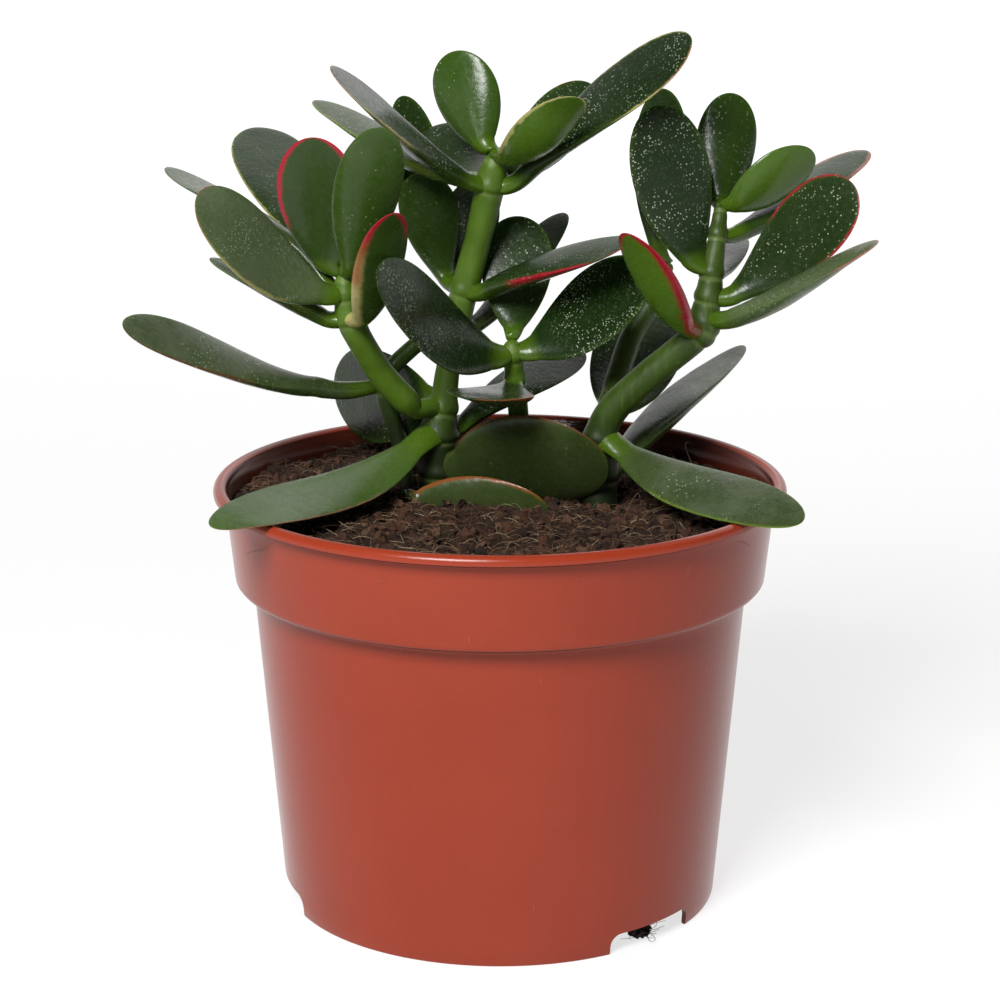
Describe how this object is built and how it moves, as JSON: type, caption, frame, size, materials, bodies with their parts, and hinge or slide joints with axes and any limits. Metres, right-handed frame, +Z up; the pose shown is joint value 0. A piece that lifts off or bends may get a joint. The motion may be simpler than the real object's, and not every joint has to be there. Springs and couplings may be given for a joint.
{
  "type": "potted jade plant",
  "caption": "Young jade plant with thick oval leaves on green stems, growing in soil in a round terracotta-coloured plastic nursery pot with a deep collar and a notched foot ring.",
  "frame": {"origin": "centre of the pot's foot on the surface it stands on", "axes": "+Z up; -Y towards the plant's front; +X towards its right side as seen from the front"},
  "size_m": [0.1552, 0.12, 0.1834],
  "materials": {
    "terracotta_plastic": "satin moulded plastic, orange-brown",
    "peat_soil": "loose dark brown peat with fibres",
    "dark_leaf": "waxy dark green leaf with fine pale specks",
    "young_leaf": "waxy bright green young leaf, some with a red margin",
    "green_stem": "smooth green stem with pale node rings",
    "root": "matte peat and fine roots"
  },
  "bodies": {
    "root": {"centre_leaf_front": "dark_leaf", "centre_leaf_left": "dark_leaf", "centre_leaf_right": "dark_leaf", "centre_leaf_upright": "dark_leaf", "centre_stem": "green_stem", "crown_leaf_cupped": "young_leaf", "crown_leaf_left": "dark_leaf", "crown_leaf_left_rear": "dark_leaf", "crown_leaf_rear": "dark_leaf", "crown_leaf_right": "dark_leaf", "crown_leaf_right_rear": "dark_leaf", "crown_leaf_upright": "dark_leaf", "left_branch": "green_stem", "left_leaf_broad": "dark_leaf", "left_leaf_dark": "dark_leaf", "left_leaf_leaning": "young_leaf", "left_leaf_long": "dark_leaf", "left_leaf_low": "dark_leaf", "left_leaf_rear": "dark_leaf", "left_leaf_red_rimmed": "dark_leaf", "left_leaf_slim": "dark_leaf", "left_leaf_upright": "dark_leaf", "left_rear_stem": "green_stem", "low_leaf_rear": "dark_leaf", "main_stem": "green_stem", "middle_leaf_left": "dark_leaf", "middle_leaf_rear": "dark_leaf", "middle_leaf_right": "dark_leaf", "pot": "terracotta_plastic", "rear_leaf_standing": "dark_leaf", "rear_leaf_tall": "dark_leaf", "rear_leaf_upright": "dark_leaf", "right_leaf_broad": "dark_leaf", "right_leaf_low": "dark_leaf", "right_leaf_oval": "dark_leaf", "right_leaf_red_backed": "young_leaf", "right_leaf_short": "dark_leaf", "right_leaf_slim": "dark_leaf", "right_leaf_tall": "dark_leaf", "right_leaf_young": "young_leaf", "right_rear_branch": "green_stem", "right_rear_leaf_round": "dark_leaf", "right_rear_leaf_tall": "dark_leaf", "right_stem": "green_stem", "rim_leaf_left": "dark_leaf", "rim_leaf_right": "dark_leaf", "root_tuft": "root", "round_leaf_front": "dark_leaf", "soil": "peat_soil", "soil_leaf_front": "dark_leaf"}
  },
  "joints": []
}
